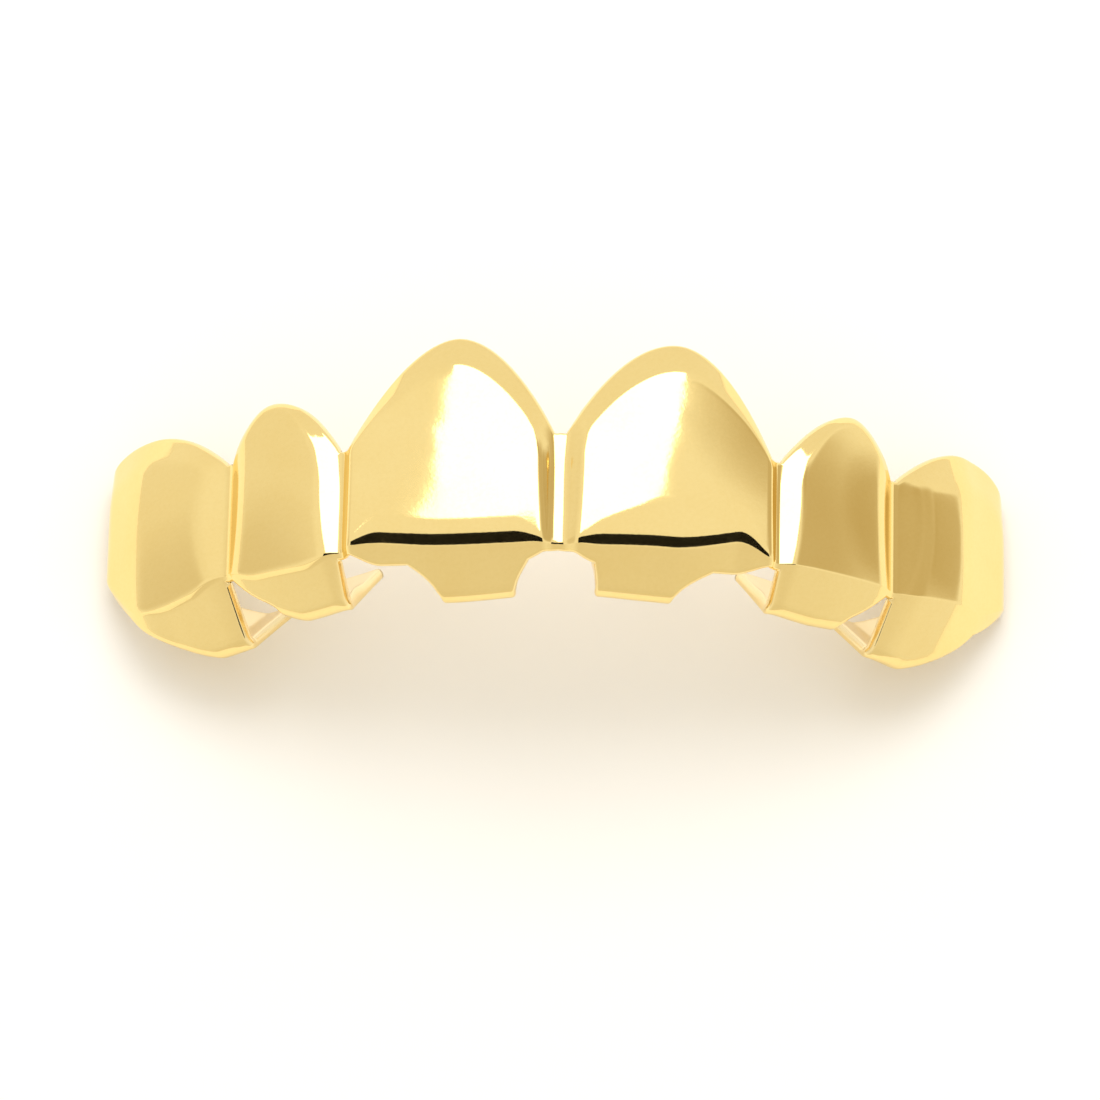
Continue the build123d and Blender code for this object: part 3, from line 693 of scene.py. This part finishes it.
def gold_plated_brass(finish):
    """Gold plate on cast brass, polished on a wheel outside and left as cast inside.

    The plate gives a pale warm yellow mirror. The wheel leaves soft waves and very fine marks,
    and the inside keeps the dull grain of the mould."""
    metal = bpy.data.materials.new("Polished gold-plated brass")
    metal.use_nodes = True
    tree = metal.node_tree
    shader = tree.nodes["Principled BSDF"]
    shader.inputs["Metallic"].default_value = 1.0
    place = add_node(tree, "ShaderNodeTexCoord").outputs["Object"]
    inside = add_node(tree, "ShaderNodeAttribute", attribute_name="inside").outputs["Fac"]

    patches, marks, waves = (
        add_node(tree, "ShaderNodeTexNoise",
                 {"Vector": place, "Scale": 1 / size, "Detail": detail}).outputs["Fac"]
        for size, detail in ((finish.patch_size, 3.0), (finish.grain_size, 3.0), (finish.ripple_size, 1.0))
    )
    speck = add_node(tree, "ShaderNodeMix", {"Factor": GRAIN_SHARE, 2: patches, 3: marks},
                     data_type="FLOAT").outputs[0]
    plate = add_node(tree, "ShaderNodeMix",
                     {"Factor": speck, 6: (*finish.plate, 1), 7: (*finish.plate_deep, 1)},
                     data_type="RGBA").outputs[2]
    # Inside and on the rim the plate turns to the paler inside colour, which is painted light standing in for
    # the bright light reaching the inside
    tint = add_node(tree, "ShaderNodeMix", {"Factor": inside, 6: plate, 7: (*finish.inside, 1)},
                    data_type="RGBA").outputs[2]
    tree.links.new(tint, shader.inputs["Base Color"])

    haze = add_node(tree, "ShaderNodeMapRange", {
        "Value": patches, "From Min": DULL_RANGE[0], "From Max": DULL_RANGE[1],
        "To Min": finish.polish, "To Max": finish.polish * DULLEST}).outputs[0]
    dull = add_node(tree, "ShaderNodeMix", {"Factor": inside, 2: haze, 3: finish.cast},
                    data_type="FLOAT").outputs[0]
    tree.links.new(dull, shader.inputs["Roughness"])

    wavy = add_node(tree, "ShaderNodeBump", {"Height": waves, "Distance": finish.ripple, "Strength": 1.0})
    fine = add_node(tree, "ShaderNodeBump", {
        "Height": marks, "Distance": finish.grain, "Strength": 1.0, "Normal": wavy.outputs[0]})
    tree.links.new(fine.outputs[0], shader.inputs["Normal"])
    return metal


def painted(name, tint, roughness):
    """A plain matt surface of the stage."""
    paint = bpy.data.materials.new(name)
    paint.use_nodes = True
    shader = paint.node_tree.nodes["Principled BSDF"]
    shader.inputs["Base Color"].default_value = (*tint, 1)
    shader.inputs["Roughness"].default_value = roughness
    return paint


def settle(mesh):
    """Move a mesh to the middle of the CAD box, on its underside. Gives the move."""
    low, high = (np.array(corner) for corner in CAD_BOX)
    places = np.empty(len(mesh.vertices) * 3, np.float32)
    mesh.vertices.foreach_get("co", places)
    places = places.reshape(-1, 3)
    move = (low + high) / 2 - (places.min(0) + places.max(0)) / 2
    move[2] = low[2] - places.min(0)[2]
    mesh.transform(Matrix.Translation(move))
    return list(move)


class TOOTHCOVER_OT_add_cover(Operator):
    """Make the cover from its sizes, in place of the plain solid of the frame"""

    bl_idname = "toothcover.add_cover"
    bl_label = "Add Cover"

    def execute(self, context):
        sizes, finish = context.scene.tooth_cover_sizes, context.scene.tooth_cover_finish
        points, outs, quads = build_sheet(sizes)
        ways = edge_ways(points, quads)
        turn = np.array(laying(sizes).to_3x3())
        points, outs, ways = points @ turn.T, outs @ turn.T, ways @ turn.T

        sheet = bpy.data.meshes.new("sheet")
        sheet.from_pydata(points.tolist(), [], quads.tolist())
        for name, values in (("way_out", outs), ("edge_out", ways)):
            attribute = sheet.attributes.new(name, "FLOAT_VECTOR", "POINT")
            attribute.data.foreach_set("vector", values.ravel())
        sheet.shade_smooth()
        cover = bpy.data.objects.new("tooth_cover_polished", sheet)
        context.scene.collection.objects.link(cover)

        tree = wall_tree()
        modifier = cover.modifiers.new("Wall", "NODES")
        modifier.node_group = tree
        settings = {"Wall": sizes.wall, "Rim": sizes.rim, "Least facing": LEAST_FACING,
                    "Metal": gold_plated_brass(finish)}
        for socket in tree.interface.items_tree:
            if socket.name in settings:
                modifier[socket.identifier] = settings[socket.name]
        made = bpy.data.meshes.new_from_object(cover.evaluated_get(context.evaluated_depsgraph_get()))
        cover.modifiers.remove(modifier)
        cover.data = made
        made.name = "tooth_cover_polished"
        for name in ("way_out", "edge_out", "inward", "root"):
            made.attributes.remove(made.attributes[name])

        # The worn sizes start from the foot of the middle notch, so the move is also its place
        cover["notch_foot"] = settle(made)
        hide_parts("tooth_cover")
        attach(cover, "root")
        return {"FINISHED"}


def aimed(behind, aside, distance):
    """Place and turn of something that hangs over the cover's middle and faces it."""
    middle = Matrix.Translation((0, 0, CAD_BOX[1][2] / 2))
    return middle @ Matrix.Rotation(-radians(behind), 4, "X") @ Matrix.Translation((aside, 0, distance))


def add_softbox(name, place, size, radiance):
    """An even light of a radiance, seen in the metal but not by the camera."""
    light = bpy.data.lights.new(name, "AREA")
    light.shape = "RECTANGLE"
    light.size, light.size_y = size
    light.energy = radiance * pi * size[0] * size[1]
    lamp = bpy.data.objects.new(name, light)
    lamp.matrix_world = place
    lamp.visible_camera = False
    bpy.context.scene.collection.objects.link(lamp)


def add_sheet(name, place, size, material):
    """A flat sheet of the stage, its middle at a place."""
    x, y = size[0] / 2, size[1] / 2
    mesh = bpy.data.meshes.new(name)
    mesh.from_pydata([(-x, -y, 0), (x, -y, 0), (x, y, 0), (-x, y, 0)], [], [(0, 1, 2, 3)])
    mesh.transform(place)
    mesh.materials.append(material)
    sheet = bpy.data.objects.new(name, mesh)
    bpy.context.scene.collection.objects.link(sheet)
    return sheet


def room_world(stage):
    """The tent round the table, bright all round but for its openings."""
    world = bpy.data.worlds.new("Room")
    world.use_nodes = True
    tree = world.node_tree
    way = add_node(tree, "ShaderNodeTexCoord").outputs["Generated"]
    tent = (*stage.room, 1)
    for direction, (inner, outer), amount in OPENINGS:
        toward = add_node(tree, "ShaderNodeVectorMath", {0: way, 1: Vector(direction).normalized()},
                          operation="DOT_PRODUCT").outputs["Value"]
        share = add_node(tree, "ShaderNodeMapRange", {
            "Value": toward, "From Min": cos(radians(outer)), "From Max": cos(radians(inner)),
            "To Min": 0.0, "To Max": amount}, interpolation_type="SMOOTHSTEP").outputs["Result"]
        tent = add_node(tree, "ShaderNodeMix", {"Factor": share, 6: tent, 7: (*stage.room_dim, 1)},
                        data_type="RGBA").outputs[2]
    background = tree.nodes["Background"]
    tree.links.new(tent, background.inputs["Color"])
    background.inputs["Strength"].default_value = stage.room_light
    return world


class TOOTHCOVER_OT_add_stage(Operator):
    """Add the camera, the table and the lights"""

    bl_idname = "toothcover.add_stage"
    bl_label = "Add Stage"

    def execute(self, context):
        scene, stage = context.scene, context.scene.tooth_cover_stage
        foot = Vector(bpy.data.objects["tooth_cover_polished"]["notch_foot"])

        camera = bpy.data.objects.new("Camera", bpy.data.cameras.new("Camera"))
        camera.data.lens = stage.lens
        camera.data.sensor_width = SENSOR
        camera.data.shift_x, camera.data.shift_y = -stage.shift_right, -stage.shift_up
        camera.data.clip_start, camera.data.clip_end = CLIP
        looking = Matrix.Rotation(pi / 2 - stage.elevation, 4, "X")
        camera.matrix_world = (Matrix.Translation(foot + looking @ Vector((0, 0, stage.distance)))
                               @ looking @ Matrix.Rotation(stage.roll, 4, "Z"))
        scene.collection.objects.link(camera)
        scene.camera = camera

        add_sheet("Table", Matrix(), TABLE_SIZE, painted("Cream paper", stage.table, PAPER_ROUGHNESS))
        add_softbox("Softbox overhead", aimed(*SOFTBOX_PLACE), SOFTBOX, stage.key_light)
        card = add_sheet("Dark card", aimed(*DARK_CARD_PLACE), DARK_CARD,
                         painted("Black card", (0, 0, 0), 1.0))
        card.visible_camera = card.visible_diffuse = card.visible_shadow = False
        scene.world = room_world(stage)
        scene.view_settings.view_transform = "Standard"
        return {"FINISHED"}


class TOOTHCOVER_PT_sidebar(Panel):
    """Sizes and finish of the cover, and its stage"""

    bl_idname = "TOOTHCOVER_PT_sidebar"
    bl_label = "Tooth Cover"
    bl_space_type = "VIEW_3D"
    bl_region_type = "UI"
    bl_category = "Tooth Cover"

    def draw(self, context):
        for group, operator in (("tooth_cover_sizes", "toothcover.add_cover"), ("tooth_cover_finish", None),
                                ("tooth_cover_stage", "toothcover.add_stage")):
            box = self.layout.box()
            settings = getattr(context.scene, group)
            for name in settings.__annotations__:
                box.prop(settings, name)
            if operator:
                box.operator(operator)


CLASSES = (
    ToothCoverSizes, ToothCoverFinish, ToothCoverStage,
    TOOTHCOVER_OT_add_cover, TOOTHCOVER_OT_add_stage, TOOTHCOVER_PT_sidebar,
)


def register():
    for one in CLASSES:
        bpy.utils.register_class(one)
    bpy.types.Scene.tooth_cover_sizes = PointerProperty(type=ToothCoverSizes)
    bpy.types.Scene.tooth_cover_finish = PointerProperty(type=ToothCoverFinish)
    bpy.types.Scene.tooth_cover_stage = PointerProperty(type=ToothCoverStage)


def unregister():
    del bpy.types.Scene.tooth_cover_stage
    del bpy.types.Scene.tooth_cover_finish
    del bpy.types.Scene.tooth_cover_sizes
    for one in reversed(CLASSES):
        bpy.utils.unregister_class(one)


def main():
    register()
    bpy.ops.toothcover.add_cover()
    bpy.ops.toothcover.add_stage()


if __name__ == "__main__":
    main()
